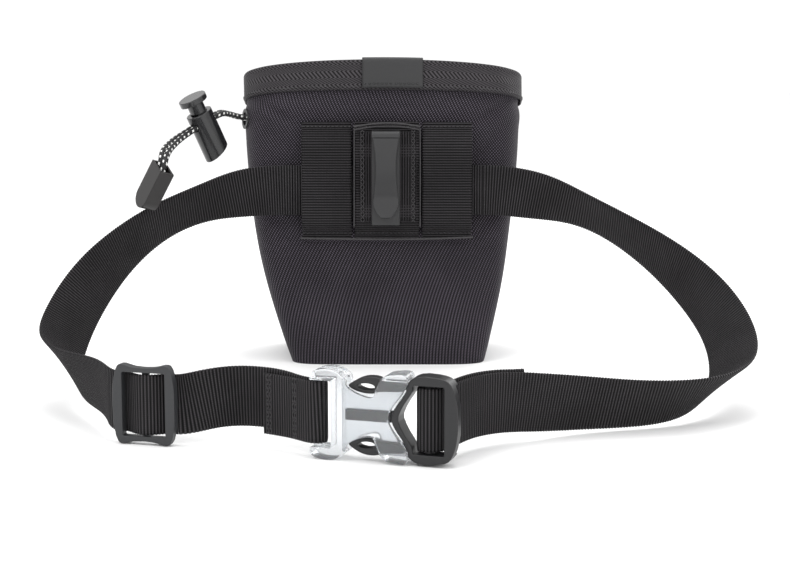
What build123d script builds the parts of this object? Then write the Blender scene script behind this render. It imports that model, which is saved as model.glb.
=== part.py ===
"""Treat pouch with a waist belt: fabric bag, drawstring, cord lock, spring clip and side-release buckle.

Millimetres. The origin is the centre of the pouch base's underside, +Z up, +X to the wearer's right hand
seen from behind the pouch, -Y towards the wearer. The belt is stored closed in a ring on the wearer's side.
"""
from build123d import *
from math import cos, sin, radians, pi, copysign
import os

# Pouch bag
BASE_HALF_WIDTH = 48.3
BASE_HALF_DEPTH = 34.0
RIM_HALF_WIDTH = 68.5
RIM_HALF_DEPTH = 36.0
RIM_HEIGHT = 138.2            # top edge of the fabric wall, on the bag's mid plane
RIM_SIDE_SHIFT = -2.8         # the rim leans a little to the left
RIM_SLOPE = 13.0              # degrees, the rim falls towards the front of the pouch
FLAT_HEIGHT = 6.0             # below this the bag is cut level
WIDENING = 2.2                # how fast the sides flare above the base
CORNER_BASE = 7.0             # superellipse exponent at the base
CORNER_RIM = 2.1              # superellipse exponent at the rim
CORNER_CHANGE = 1.5
WALL_OUTER = 1.2              # outer fabric
WALL_LINING = 0.6             # lining
WALL = WALL_OUTER + WALL_LINING
BASE_THICK = 1.6              # base panel
BOARD_THICK = 1.4             # stiffening board
BINDING_THICK = 1.2
BINDING_DROP = 11.2           # the binding reaches this far below the fabric edge
STIFFENER_HEIGHT = 1.8        # plastic stay that keeps the rim open
LABEL_THICK = 0.8
LABEL_LEFT = -12.3
LABEL_RIGHT = 16.8
LABEL_DROP = 12.0
COLLAR_DROP = 27.0            # drawstring collar hangs this far below the fabric edge
COLLAR_THICK = 0.8
HEM_HEIGHT = 6.4
HEM_DEPTH = 6.0
CORD_DIAMETER = 2.8
SECTION_SIDES = 24            # flats round each bag section
SECTION_HEIGHTS = [FLAT_HEIGHT, 34, 64, 96, RIM_HEIGHT - COLLAR_DROP, RIM_HEIGHT - COLLAR_DROP + HEM_HEIGHT,
                   RIM_HEIGHT - BINDING_DROP, RIM_HEIGHT]
LAYER_GAP = 0.05              # air between sewn layers

# Belt loops and clip panel, in front of the back wall (towards -Y)
PATCH_THICK = 1.2
PANEL_LEFT = -42.0
LOOP_WIDTH = 25.0
PANEL_RIGHT = 41.0
PANEL_BOTTOM = 63.3
PANEL_TOP = 119.3
TAB_HEIGHT = 3.2
STRAP_WIDTH = 25.0
STRAP_THICK = 1.6
BACK_RUN_Y = -38.9            # middle of the belt's thickness behind the loops
BACK_RUN_Z = 86.6
BACK_RUN_HALF = 46.0
LOOP_GAP = 0.5
LOOP_THICK = 1.4
LOOP_BACK_Y = BACK_RUN_Y - STRAP_THICK / 2 - LOOP_GAP
LOOP_FRONT_Y = LOOP_BACK_Y - LOOP_THICK
HOLDER_HALF_WIDTH = 13.8
HOLDER_BOTTOM = 71.0
HOLDER_TOP = 116.0
HOLDER_FRONT_Y = LOOP_FRONT_Y - 1.4
CLIP_X = -1.0
CLIP_THICK = 1.0
CLIP_PLATE_WIDTH = 13.4
CLIP_PLATE_BOTTOM = 70.0
CLIP_BEND_HEIGHT = 112.4      # hinge line of the clip's tongue
CLIP_BEND_RADIUS = 2.6
CLIP_PLATE_Y = HOLDER_FRONT_Y - CLIP_THICK

# Drawcord, its eyelet, lock and end piece
EYELET_CENTRE = Vector(-69.2, -14.0, 119.8)
EYELET_NORMAL = Vector(-0.93, -0.36, 0.05)
EYELET_BORE = 6.6
EYELET_BARREL = 8.4
EYELET_FLANGE = 10.0
LOCK_CENTRE = Vector(-88.4, -41.0, 119.2)
LOCK_AXIS = Vector(-0.35, -0.30, 0.886)
LOCK_ALONG = Vector(-0.70, -0.52, -0.4526)
LOCK_BELOW = 16.4
LOCK_ABOVE = 5.4
LOCK_HALF_WIDTH = 6.6
LOCK_HALF_DEPTH = 5.6
LOCK_BORE = 8.2
LOCK_TRAVEL = 4.0
LOCK_STEM = 8.04
LOCK_BUTTON_RADIUS = 7.0
LOCK_BUTTON_THICK = 2.8
LOCK_STEM_TOP = 10.8
LOCK_BORE_BOTTOM = -12.5
LOCK_STEM_BOTTOM = -5.5
END_MOUTH = Vector(-103.4, -72.5, 99.9)
END_ALONG = Vector(-0.47, 0.25, -0.85)
END_BACK = Vector(0.776, 0.576, -0.26)
END_LENGTH = 22.4
END_WIDTH = 11.4
END_THICK = 7.4
END_WALL = 1.1
END_POCKET = 9.0
DRAWCORD_ONE = [(-63.2, -10.1, 119.5), (-73.6, -14.4, 120.6), (-80.0, -22.6, 123.2), (-82.5, -34.8, 123.6),
                (-96.0, -44.9, 114.9), (-101.8, -54.2, 111.0), (-104.9, -64.6, 107.1), (-104.7, -70.9, 101.5),
                (-106.4, -70.4, 96.4)]
DRAWCORD_TWO = [(-62.2, -12.9, 119.5), (-72.2, -17.4, 120.4), (-77.6, -25.8, 122.8), (-80.8, -37.1, 123.5),
                (-94.3, -47.2, 114.8), (-99.6, -56.6, 110.4), (-102.5, -67.0, 105.9), (-102.9, -73.4, 100.3),
                (-104.9, -72.5, 95.1)]

# Buckle: local u runs along the buckle to the right, w is up, v comes out towards the wearer
BUCKLE_CENTRE = Vector(-0.2, -226.5, 17.5)
BUCKLE_YAW = -18.1
BUCKLE_THICK = 10.0
BAR_U = -26.7
BAR_RADIUS = 1.9
STRAP_SLOT = STRAP_WIDTH / 2 + 0.4
CAVITY_HALF_HEIGHT = 14.2
CAVITY_HALF_THICK = 2.6
PRONG_THICK = 4.6
PRONG_ROOT_U = 10.6
MALE_THICK = 8.0
LADDER_U = 17.2
LADDER_RADIUS = 1.8

# Slider on the belt: local t runs along the belt, v comes out towards the wearer
GLIDE_CENTRE = Vector(-94.0, -198.0, 16.1)
GLIDE_YAW = -15.6
GLIDE_WINDOW = 9.0
GLIDE_BAR = 1.6

BUCKLE = Plane(origin=BUCKLE_CENTRE, x_dir=(cos(radians(BUCKLE_YAW)), sin(radians(BUCKLE_YAW)), 0),
               z_dir=(sin(radians(BUCKLE_YAW)), -cos(radians(BUCKLE_YAW)), 0))
GLIDE = Plane(origin=GLIDE_CENTRE, x_dir=(cos(radians(GLIDE_YAW)), sin(radians(GLIDE_YAW)), 0),
              z_dir=(sin(radians(GLIDE_YAW)), -cos(radians(GLIDE_YAW)), 0))

# Belt routes. Each station is the strap's centre and the direction of its width, from lower to upper edge.
UPRIGHT = (0, 0, 1)
LEFT_RUN = [((-46, -38.9, 86.6), UPRIGHT), ((-62, -39.0, 86.0), (0, -0.10, 1)),
            ((-84, -42.0, 82.0), (-0.05, -0.6, 0.88)), ((-106, -52.0, 73.5), (-0.3, -0.85, 0.8)),
            ((-124, -69.0, 60.5), (-0.62, -0.8, 0.72)), ((-137, -91.0, 44.5), (-0.90, -0.5, 0.62)),
            ((-142.5, -109.0, 31.5), (-0.80, -0.25, 0.55)), ((-141.8, -126.0, 23.8), (-0.66, -0.14, 0.70)),
            ((-135.5, -143.5, 19.0), (-0.45, -0.18, 0.87)), ((-122.9, -165.0, 18.2), (-0.26, -0.08, 0.96)),
            ((-112.5, -183.0, 17.6), (-0.1, 0, 1)), ((-105.5, -192.8, 16.1), UPRIGHT)]
FRONT_RUN = [((-81.5, -199.5, 16.1), UPRIGHT), ((-71, -198.3, 17.6), UPRIGHT), ((-60, -197.2, 18.9), UPRIGHT),
             ((-48, -200.4, 19.2), UPRIGHT), ((-38, -207.4, 18.8), UPRIGHT), ((-28.0, -214.9, 17.9), UPRIGHT)]
FOLD_RUN = [((-28.0, -214.9, 17.9), UPRIGHT), ((-24.7, -215.4, 17.9), UPRIGHT),
            ((-22.8, -217.4, 17.9), UPRIGHT), ((-22.9, -219.2, 17.9), UPRIGHT),
            ((-23.8, -220.5, 17.9), UPRIGHT), ((-26.5, -221.0, 17.9), UPRIGHT),
            ((-29.6, -219.3, 17.9), UPRIGHT), ((-33.6, -214.7, 17.9), UPRIGHT),
            ((-39.3, -209.1, 17.9), UPRIGHT), ((-47.3, -203.1, 17.9), UPRIGHT)]
RIGHT_RUN = [((46, -38.9, 86.6), UPRIGHT), ((62, -39.0, 85.4), (0, -0.10, 1)),
             ((88, -43.0, 79.5), (0, -0.7, 0.88)), ((113, -56.0, 67.5), (0.25, -0.95, 0.8)),
             ((135, -80.0, 51.5), (0.6, -0.8, 0.7)), ((147, -107.0, 37.0), (0.85, -0.6, 0.65)),
             ((149, -133.0, 24.8), (1, -0.5, 0.65)), ((141, -156.0, 16.8), (0.85, -0.5, 0.78)),
             ((125, -171.5, 12.8), (0.45, -0.55, 0.88)), ((103, -179.5, 12.0), (0.12, -0.45, 0.9)),
             ((81, -184.5, 13.2), (0, -0.30, 1)), ((60, -193.0, 15.4), (0, -0.10, 1)),
             ((46, -200.5, 17.0), UPRIGHT), ((35, -209.5, 17.4), UPRIGHT), ((27.4, -221.3, 17.5), UPRIGHT)]
RIGHT_SPLIT = 0.6             # the run is two lengths of one strap, so that its front end can be drawn out
TAIL_RUN = [((24.34, -219.72, 17.6), UPRIGHT), ((32.9, -207.2, 17.9), UPRIGHT),
            ((44.6, -198.0, 17.6), UPRIGHT), ((54.0, -192.8, 17.0), UPRIGHT)]
GLIDE_RUN = [(-12.5, -1.9), (-9.5, -1.8), (-5, 0.7), (0, 2.7), (5, 0.7), (9.5, -1.8), (12.4, -1.9)]
LADDER_RUN = [(24.6, -13.5), (23.6, -8), (22.6, -2.6), (20.6, 1.3), (17.2, 2.8), (14.1, 1.9), (13.0, -0.7),
              (14.2, -3.6), (17.6, -6.6), (20.3, -11.0), (21.2, -14.0)]


def ramp(height):
    """Share of the way from base to rim, held at the rim's value above it."""
    return min(max(height / RIM_HEIGHT, 0.0), 1.0)


def slope_plane(height):
    """Plane of one bag section: level near the base, tilted with the rim at the top."""
    share = max(0.0, (height - FLAT_HEIGHT) / (RIM_HEIGHT - FLAT_HEIGHT))
    tilt = radians(RIM_SLOPE * min(share, 1.0))
    return Plane(origin=(0, 0, height), x_dir=(1, 0, 0), z_dir=(0, sin(tilt), cos(tilt)))


def section_points(height, grow):
    """Superellipse outline of the bag at one height, offset outwards by grow."""
    share = ramp(height)
    half_width = BASE_HALF_WIDTH + (RIM_HALF_WIDTH - BASE_HALF_WIDTH) * (1 - (1 - share) ** WIDENING)
    half_depth = BASE_HALF_DEPTH + (RIM_HALF_DEPTH - BASE_HALF_DEPTH) * share
    power = 2 / (CORNER_RIM + (CORNER_BASE - CORNER_RIM) * (1 - share ** CORNER_CHANGE))
    shift = RIM_SIDE_SHIFT * share
    points = []
    for index in range(SECTION_SIDES):
        angle = 2 * pi * (index + 0.5) / SECTION_SIDES
        across = copysign(abs(cos(angle)) ** power, cos(angle))
        deep = copysign(abs(sin(angle)) ** power, sin(angle))
        points.append((shift + (half_width + grow) * across, (half_depth + grow) * deep))
    return points


def bag(grow, low, high):
    """Closed solid of the bag's outline from one height to another, grown by a distance.

    Every layer shares the section heights in between, so that the layers nest.
    """
    with BuildPart() as body:
        for height in [low] + [height for height in SECTION_HEIGHTS if low < height < high] + [high]:
            with BuildSketch(slope_plane(height)):
                Polygon(*section_points(height, grow), align=None)
        loft(ruled=True)
    return body.part


def wall_between(outer, inner, low, high):
    """Wall of the bag between two offsets, open at both ends."""
    with BuildPart() as wall:
        add(bag(outer, low, high))
        add(bag(inner, low - 2, high + 2), mode=Mode.SUBTRACT)
    return wall.part


def slab(x0, x1, y0, y1, z0, z1):
    """Box given by its limits."""
    with BuildPart() as block:
        with BuildSketch(Plane.XY.offset(z0)):
            with Locations(((x0 + x1) / 2, (y0 + y1) / 2)):
                Rectangle(x1 - x0, y1 - y0)
        extrude(amount=z1 - z0)
    return block.part


def save(piece, label):
    """Label one finished piece and write its file."""
    piece.label = label
    export_step(piece, "parts/" + label + ".step")
    print(label, "volume %.0f" % piece.volume)


def cord_radii(points):
    """Bend radius at each inner point: 0.45 of the shorter run over the tangent of half the turn."""
    places = [Vector(*point) for point in points]
    radii = []
    for before, here, after in zip(places, places[1:], places[2:]):
        turn = (here - before).get_angle(after - here)
        shorter = min((here - before).length, (after - here).length)
        radii.append(0.45 * shorter / (sin(radians(turn / 2)) / cos(radians(turn / 2))))
    return radii


def cord_tube(points):
    """Round cord along straight runs joined by tangent arcs."""
    radii = cord_radii(points)
    with BuildPart() as tube:
        with BuildLine() as path:
            FilletPolyline(*points, radius=radii)
        with BuildSketch(Plane(origin=path.line @ 0, z_dir=path.line % 0)):
            Circle(CORD_DIAMETER / 2)
        sweep()
        length = sum(edge.length for edge in path.edges())
    print("cord length %.1f radii" % length, [round(radius, 1) for radius in radii],
          "volume ratio %.4f" % (tube.part.volume / (pi * CORD_DIAMETER ** 2 / 4 * length)))
    return tube.part


def ribbon(route, start_direction, end_direction, first=0.0, last=1.0, steps=30, thickness=STRAP_THICK):
    """Flat strap along a smooth route, cut between two shares of its length."""
    centres = [Vector(*centre) for centre, width in route]
    uppers = [Vector(*centre) + Vector(*width).normalized() * (STRAP_WIDTH / 2) for centre, width in route]
    middle = Spline(*centres, tangents=[start_direction, end_direction], tangent_scalars=(1, 1))
    upper = Spline(*uppers, tangents=[start_direction, end_direction], tangent_scalars=(1, 1))
    with BuildPart() as strap:
        for index in range(steps + 1):
            share = first + (last - first) * index / steps
            place = middle @ share
            along = middle % share
            across = (upper @ share) - place
            across = across - along * across.dot(along)
            with BuildSketch(Plane(origin=place, x_dir=across, z_dir=along)):
                Rectangle(STRAP_WIDTH, thickness)
        loft(ruled=True)
    return strap.part


def upright_strap(route, start_direction, end_direction, steps):
    """Strap that stands on edge: its plan is a band along a smooth line, raised by the strap's width."""
    line = Spline(*[(x, y, 0) for (x, y, z), width in route], tangents=[start_direction, end_direction],
                  tangent_scalars=(1, 1))
    one_side = []
    other_side = []
    for index in range(steps + 1):
        place = line @ (index / steps)
        along = line % (index / steps)
        one_side.append((place.X - along.Y * STRAP_THICK / 2, place.Y + along.X * STRAP_THICK / 2))
        other_side.append((place.X + along.Y * STRAP_THICK / 2, place.Y - along.X * STRAP_THICK / 2))
    with BuildPart() as strap:
        with BuildSketch(Plane.XY.offset(route[0][0][2] - STRAP_WIDTH / 2)):
            Polygon(*one_side, *reversed(other_side), align=None)
        extrude(amount=STRAP_WIDTH)
    return strap.part


def plan_route(plane, path_points):
    """Stations of an upright strap whose route is drawn in a local plan: points are (along, out)."""
    origin = plane.origin
    route = []
    for along, out in path_points:
        place = origin + plane.x_dir * along + plane.z_dir * out
        route.append(((place.X, place.Y, place.Z), UPRIGHT))
    return route


os.makedirs("parts", exist_ok=True)

# Bag: outer fabric, lining, base panel and board
lock_plane = Plane(origin=LOCK_CENTRE, x_dir=LOCK_ALONG, z_dir=LOCK_AXIS)
eyelet_plane = Plane(origin=EYELET_CENTRE, z_dir=EYELET_NORMAL)
lining_floor = BASE_THICK + BOARD_THICK

with BuildPart() as eyelet_hole:
    with BuildSketch(eyelet_plane.offset(-6)):
        Circle(EYELET_BARREL / 2)
    extrude(amount=12)

with BuildPart() as pouch_shell:
    add(wall_between(0, -WALL_OUTER, BASE_THICK, RIM_HEIGHT))
    add(eyelet_hole.part, mode=Mode.SUBTRACT)
save(pouch_shell.part, "pouch_shell")

with BuildPart() as base_panel:
    with BuildSketch():
        Polygon(*section_points(0, 0), align=None)
    extrude(amount=BASE_THICK)
save(base_panel.part, "base_panel")

with BuildPart() as base_board:
    with BuildSketch(Plane.XY.offset(BASE_THICK)):
        Polygon(*section_points(0, -WALL_OUTER - LAYER_GAP), align=None)
    extrude(amount=BOARD_THICK)
save(base_board.part, "base_board")

with BuildPart() as pouch_lining:
    add(bag(-WALL_OUTER - LAYER_GAP, lining_floor, RIM_HEIGHT))
    add(bag(-WALL, lining_floor + WALL_LINING, RIM_HEIGHT + 2), mode=Mode.SUBTRACT)
    add(eyelet_hole.part, mode=Mode.SUBTRACT)
save(pouch_lining.part, "pouch_lining")

# Rim: stiffener, binding tape and label
rim_low = RIM_HEIGHT - BINDING_DROP
rim_top = RIM_HEIGHT + STIFFENER_HEIGHT
binding_out = LAYER_GAP + BINDING_THICK
binding_in = -WALL - LAYER_GAP - BINDING_THICK
binding_top = rim_top + BINDING_THICK
rim_ring = wall_between(LAYER_GAP, -WALL - LAYER_GAP, rim_low - 2, rim_top)
save(wall_between(0, -WALL, RIM_HEIGHT, rim_top), "rim_stiffener")

with BuildPart() as rim_binding:
    add(wall_between(binding_out, binding_in, rim_low, binding_top))
    add(rim_ring, mode=Mode.SUBTRACT)
save(rim_binding.part, "rim_binding")

label_low = RIM_HEIGHT - LABEL_DROP
label_top = binding_top + LABEL_THICK
label_out = binding_out + LAYER_GAP + LABEL_THICK
label_in = binding_in - LAYER_GAP - LABEL_THICK
label_window = slab(LABEL_LEFT, LABEL_RIGHT, -60, 0, 100, 160)
with BuildPart() as rim_label:
    add(wall_between(label_out, label_in, label_low, label_top))
    add(wall_between(binding_out + LAYER_GAP, binding_in - LAYER_GAP, label_low - 2, binding_top),
        mode=Mode.SUBTRACT)
    add(label_window, mode=Mode.INTERSECT)
save(rim_label.part, "rim_label")

# Drawstring collar: a band below the binding with a hem that holds the cord loop
collar_low = RIM_HEIGHT - COLLAR_DROP
hem_top = collar_low + HEM_HEIGHT
collar_out = -WALL - LAYER_GAP
collar_in = collar_out - COLLAR_THICK
hem_in = collar_out - HEM_DEPTH
cord_low = collar_low + (HEM_HEIGHT - CORD_DIAMETER) / 2
cord_high = cord_low + CORD_DIAMETER
with BuildPart() as cord_way:
    with BuildSketch(eyelet_plane.offset(-9)):
        Circle(EYELET_BORE / 2)
    extrude(amount=9)
with BuildPart() as drawstring_collar:
    add(wall_between(collar_out, collar_in, hem_top, rim_low - LAYER_GAP))
    add(wall_between(collar_out, hem_in, collar_low, hem_top))
    add(wall_between(collar_in, hem_in + COLLAR_THICK, cord_low - LAYER_GAP, cord_high + LAYER_GAP),
        mode=Mode.SUBTRACT)
    add(cord_way.part, mode=Mode.SUBTRACT)
    add(eyelet_hole.part, mode=Mode.SUBTRACT)
save(drawstring_collar.part, "drawstring_collar")
save(wall_between(collar_in - 0.2, collar_in - 0.2 - CORD_DIAMETER, cord_low, cord_high), "drawcord_loop")

# Eyelet that the drawcord leaves through
with BuildPart() as cord_eyelet:
    with BuildSketch(eyelet_plane.offset(-3)):
        Circle(EYELET_BARREL / 2 - LAYER_GAP)
    extrude(amount=4.6)
    with BuildSketch(eyelet_plane.offset(1.0)):
        Circle(EYELET_FLANGE / 2)
    extrude(amount=0.9)
    with BuildSketch(eyelet_plane.offset(-3)):
        Circle(EYELET_BORE / 2)
    extrude(amount=8, mode=Mode.SUBTRACT)
save(cord_eyelet.part, "cord_eyelet")

# Panel on the back: patch, two belt loops, clip panel and clip holder
patch_back = BASE_HALF_DEPTH - 6
bag_core = bag(0, SECTION_HEIGHTS[0], RIM_HEIGHT)
bag_patch = bag(PATCH_THICK, SECTION_HEIGHTS[1], RIM_HEIGHT)
with BuildPart() as loop_patch:
    add(bag_patch)
    add(bag_core, mode=Mode.SUBTRACT)
    add(slab(PANEL_LEFT, PANEL_RIGHT, -60, -patch_back, PANEL_BOTTOM, PANEL_TOP), mode=Mode.INTERSECT)
save(loop_patch.part, "loop_patch")


def panel_strip(x0, x1):
    """Upright strip in front of the belt, sewn to the patch by a tab at its top and its bottom."""
    with BuildPart() as strip:
        add(slab(x0, x1, LOOP_FRONT_Y, LOOP_BACK_Y, PANEL_BOTTOM, PANEL_TOP))
        add(slab(x0, x1, LOOP_FRONT_Y, -patch_back, PANEL_BOTTOM, PANEL_BOTTOM + TAB_HEIGHT))
        add(slab(x0, x1, LOOP_FRONT_Y, -patch_back, PANEL_TOP - TAB_HEIGHT, PANEL_TOP))
        add(bag_patch, mode=Mode.SUBTRACT)
    return strip.part


seam = 0.3
save(panel_strip(PANEL_LEFT, PANEL_LEFT + LOOP_WIDTH), "belt_loop_left")
save(panel_strip(PANEL_RIGHT - LOOP_WIDTH, PANEL_RIGHT), "belt_loop_right")
save(panel_strip(PANEL_LEFT + LOOP_WIDTH + seam, PANEL_RIGHT - LOOP_WIDTH - seam), "clip_panel")
save(slab(-HOLDER_HALF_WIDTH, HOLDER_HALF_WIDTH, HOLDER_FRONT_Y, LOOP_FRONT_Y, HOLDER_BOTTOM, HOLDER_TOP),
     "clip_holder")

# Spring clip: back plate with the bend, sprung tongue and two rivets
bend_y = CLIP_PLATE_Y - CLIP_BEND_RADIUS
with BuildPart() as clip_plate:
    add(slab(CLIP_X - CLIP_PLATE_WIDTH / 2, CLIP_X + CLIP_PLATE_WIDTH / 2, CLIP_PLATE_Y, HOLDER_FRONT_Y,
             CLIP_PLATE_BOTTOM, CLIP_BEND_HEIGHT))
    with BuildSketch(Plane.YZ.offset(CLIP_X - CLIP_PLATE_WIDTH / 2)):
        with Locations((bend_y + CLIP_THICK / 2, CLIP_BEND_HEIGHT)):
            Circle(CLIP_BEND_RADIUS + CLIP_THICK / 2)
            Circle(CLIP_BEND_RADIUS - CLIP_THICK / 2, mode=Mode.SUBTRACT)
            Rectangle(12, 6, align=(Align.CENTER, Align.MAX), mode=Mode.SUBTRACT)
    extrude(amount=CLIP_PLATE_WIDTH)
save(clip_plate.part, "clip_plate")

tongue_y = bend_y + CLIP_THICK / 2 - CLIP_BEND_RADIUS
tongue_side = [(tongue_y, CLIP_BEND_HEIGHT - 0.3), (tongue_y + 0.3, 100), (tongue_y + 1.6, 90),
               (CLIP_PLATE_Y - 1.5, 83.6), (CLIP_PLATE_Y - 2.4, 79.0), (CLIP_PLATE_Y - 4.4, 73.9)]
with BuildPart() as clip_tongue:
    with BuildSketch(Plane.YZ.offset(CLIP_X - 10)):
        with BuildLine() as tongue_line:
            Spline(*tongue_side)
        trace(line_width=CLIP_THICK)
    extrude(amount=20)
    with BuildSketch(Plane.XZ.offset(60)) as tongue_face:
        with BuildLine():
            right_edge = Spline((CLIP_X + 6.5, CLIP_BEND_HEIGHT + 1), (CLIP_X + 5.4, 107), (CLIP_X + 4.8, 99),
                                (CLIP_X + 5.2, 90), (CLIP_X + 5.9, 83))
            tip_edge = Spline(right_edge @ 1, (CLIP_X + 4.7, 77.0), (CLIP_X, 73.0), (CLIP_X - 4.7, 77.0),
                              (CLIP_X - 5.9, 83))
            left_edge = Spline(tip_edge @ 1, (CLIP_X - 5.2, 90), (CLIP_X - 4.8, 99), (CLIP_X - 5.4, 107),
                               (CLIP_X - 6.5, CLIP_BEND_HEIGHT + 1))
            Line(left_edge @ 1, right_edge @ 0)
        make_face()
    extrude(amount=-40, mode=Mode.INTERSECT)
save(clip_tongue.part, "clip_tongue")

with BuildPart() as clip_rivets:
    with BuildSketch(Plane.XZ.offset(-CLIP_PLATE_Y)):
        with Locations((CLIP_X, 106), (CLIP_X, 96)):
            Circle(1.9)
    extrude(amount=0.7)
save(clip_rivets.part, "clip_rivets")

# Cord lock: barrel, sprung plunger and spring
hole_height = CORD_DIAMETER + 0.5
hole_width = 2 * CORD_DIAMETER + 0.5
with BuildPart() as cord_lock_body:
    with BuildSketch(lock_plane.offset(-LOCK_BELOW - 2)):
        Ellipse(LOCK_HALF_WIDTH, LOCK_HALF_DEPTH)
    extrude(amount=LOCK_BELOW + 2 + LOCK_ABOVE)
    with BuildSketch(lock_plane.offset(LOCK_BORE_BOTTOM)):
        Circle(LOCK_BORE / 2)
    extrude(amount=30, mode=Mode.SUBTRACT)
    with BuildSketch(Plane(origin=LOCK_CENTRE - lock_plane.x_dir * 12, x_dir=lock_plane.y_dir,
                           z_dir=lock_plane.x_dir)):
        Rectangle(hole_width, hole_height)
    extrude(amount=24, mode=Mode.SUBTRACT)
    cut_origin = LOCK_CENTRE - lock_plane.z_dir * LOCK_BELOW
    split(bisect_by=Plane(origin=cut_origin, z_dir=lock_plane.z_dir + lock_plane.x_dir * 0.3), keep=Keep.TOP)
save(cord_lock_body.part, "cord_lock_body")

with BuildPart() as cord_lock_plunger:
    with BuildSketch(lock_plane.offset(LOCK_STEM_BOTTOM)):
        Circle(LOCK_STEM / 2)
    extrude(amount=LOCK_STEM_TOP - LOCK_STEM_BOTTOM)
    with BuildSketch(lock_plane.offset(LOCK_STEM_TOP)):
        Ellipse(LOCK_BUTTON_RADIUS, LOCK_BUTTON_RADIUS * 0.86)
    extrude(amount=LOCK_BUTTON_THICK)
    with BuildSketch(Plane(origin=LOCK_CENTRE - lock_plane.x_dir * 12 + lock_plane.z_dir * LOCK_TRAVEL / 2,
                           x_dir=lock_plane.y_dir, z_dir=lock_plane.x_dir)):
        Rectangle(hole_width, hole_height + LOCK_TRAVEL)
    extrude(amount=24, mode=Mode.SUBTRACT)
save(cord_lock_plunger.part, "cord_lock_plunger")

spring_turns = 4
spring_height = LOCK_STEM_BOTTOM - LOCK_BORE_BOTTOM - 0.7
with BuildPart() as cord_lock_spring:
    for turn in range(spring_turns):
        ring_plane = lock_plane.offset(LOCK_BORE_BOTTOM + 0.35 + spring_height * turn / (spring_turns - 1))
        with Locations(ring_plane):
            Torus(2.8, 0.35)
save(cord_lock_spring.part, "cord_lock_spring")

# Cord end: U-shaped shell open at its mouth, and the plug that grips the knotted cord ends
end_plane = Plane(origin=END_MOUTH, x_dir=END_BACK, z_dir=END_ALONG)
side_plane = Plane(origin=END_MOUTH - end_plane.x_dir * END_THICK / 2, x_dir=end_plane.y_dir,
                   z_dir=end_plane.x_dir)
end_sign = copysign(1, end_plane.z_dir.dot(side_plane.y_dir))
with BuildPart() as cord_end_shell:
    with BuildSketch(side_plane):
        with BuildLine():
            Line((-END_WIDTH / 2, 0), (END_WIDTH / 2, 0))
            Line((END_WIDTH / 2, 0), (END_WIDTH / 2, end_sign * (END_LENGTH - 6)))
            ThreePointArc((END_WIDTH / 2, end_sign * (END_LENGTH - 6)), (0, end_sign * END_LENGTH),
                          (-END_WIDTH / 2, end_sign * (END_LENGTH - 6)))
            Line((-END_WIDTH / 2, end_sign * (END_LENGTH - 6)), (-END_WIDTH / 2, 0))
        make_face()
    extrude(amount=END_THICK)
    with BuildSketch(end_plane):
        Rectangle(END_THICK - 2 * END_WALL, END_WIDTH - 2 * END_WALL)
    extrude(amount=END_POCKET, mode=Mode.SUBTRACT)
save(cord_end_shell.part, "cord_end_shell")

with BuildPart() as cord_end_plug:
    with BuildSketch(end_plane.offset(3.2)):
        Rectangle(END_THICK - 2 * END_WALL - 0.1, END_WIDTH - 2 * END_WALL - 0.1)
    extrude(amount=END_POCKET - 3.2)
save(cord_end_plug.part, "cord_end_plug")

for label, points in (("drawcord_tail_one", DRAWCORD_ONE), ("drawcord_tail_two", DRAWCORD_TWO)):
    save(cord_tube(points), label)

# Waist belt
save(slab(-BACK_RUN_HALF, BACK_RUN_HALF, BACK_RUN_Y - STRAP_THICK / 2, BACK_RUN_Y + STRAP_THICK / 2,
          BACK_RUN_Z - STRAP_WIDTH / 2, BACK_RUN_Z + STRAP_WIDTH / 2), "belt_back")
glide_in = (0.85, -0.53, 0)
glide_out = (0.985, 0.05, 0)
buckle_in = (0.9505, -0.3107, 0)
ladder_in = (-0.475, -0.876, 0)
tail_out = (0.45, 0.89, 0)
save(ribbon(LEFT_RUN, (-1, 0, 0), glide_in, steps=20), "belt_left")
save(upright_strap(plan_route(GLIDE, GLIDE_RUN), glide_in, glide_out, 24), "belt_over_slider")
save(ribbon(FRONT_RUN, glide_out, buckle_in, steps=10), "belt_front")
save(upright_strap(FOLD_RUN, buckle_in, (-0.8, 0.6, 0), 40), "belt_fold")
save(ribbon(RIGHT_RUN, (1, 0, 0), ladder_in, last=RIGHT_SPLIT, steps=16), "belt_right")
save(ribbon(RIGHT_RUN, (1, 0, 0), ladder_in, first=RIGHT_SPLIT, steps=14), "belt_right_front")
save(upright_strap(plan_route(BUCKLE, LADDER_RUN), ladder_in, tail_out, 32), "belt_ladder")
save(upright_strap(TAIL_RUN, tail_out, (0.88, 0.47, 0), 10), "belt_tail")


def mirrored(points):
    """Closed outline from its upper half: the points and their mirror images below."""
    return points + [(along, -up) for along, up in reversed(points)]


def eased(points):
    """Closed outline with its corners cut twice, so that they read as rounded."""
    for cut in range(2):
        rounder = []
        for (x0, y0), (x1, y1) in zip(points, points[1:] + points[:1]):
            rounder.append((0.75 * x0 + 0.25 * x1, 0.75 * y0 + 0.25 * y1))
            rounder.append((0.25 * x0 + 0.75 * x1, 0.25 * y0 + 0.75 * y1))
        points = rounder
    return points


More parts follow.
